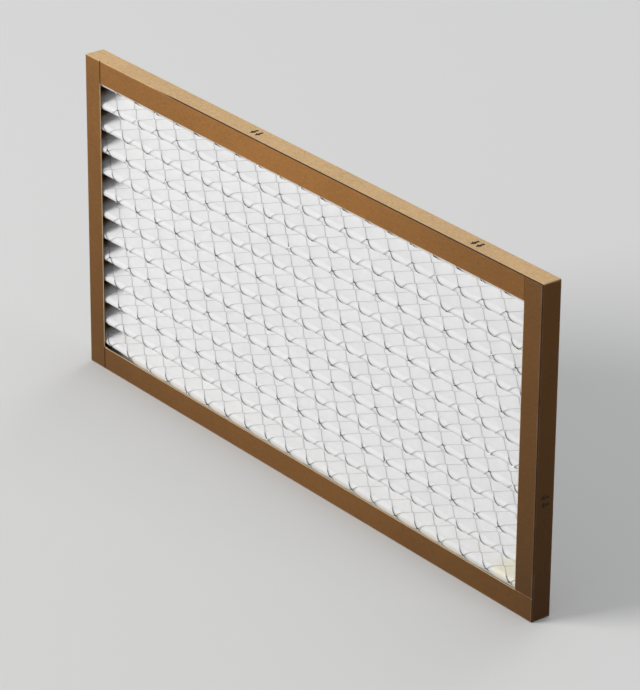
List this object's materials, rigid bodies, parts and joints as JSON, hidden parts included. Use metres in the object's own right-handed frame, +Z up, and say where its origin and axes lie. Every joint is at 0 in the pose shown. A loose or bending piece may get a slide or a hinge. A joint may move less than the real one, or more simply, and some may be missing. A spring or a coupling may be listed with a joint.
{
  "type": "pleated panel air filter",
  "caption": "Rectangular panel air filter: a folded paperboard frame with lapped corners round a pleated non-woven sheet backed by expanded metal.",
  "frame": {"origin": "middle of the bottom edge, at the surface the filter stands on", "axes": "+X along the long side, +Y from the expanded-metal side to the plain side, +Z up the short side"},
  "size_m": [0.5968, 0.019, 0.2921],
  "materials": {
    "paperboard": "matte uncoated kraft",
    "media": "matte non-woven",
    "expanded_metal": "dull galvanised",
    "glue": "dried, satin"
  },
  "bodies": {
    "root": {"frame": "paperboard", "pleated_media": "media", "support_mesh": "expanded_metal", "glue_left": "glue", "glue_right": "glue", "glue_bottom": "glue", "glue_top": "glue"}
  },
  "joints": []
}
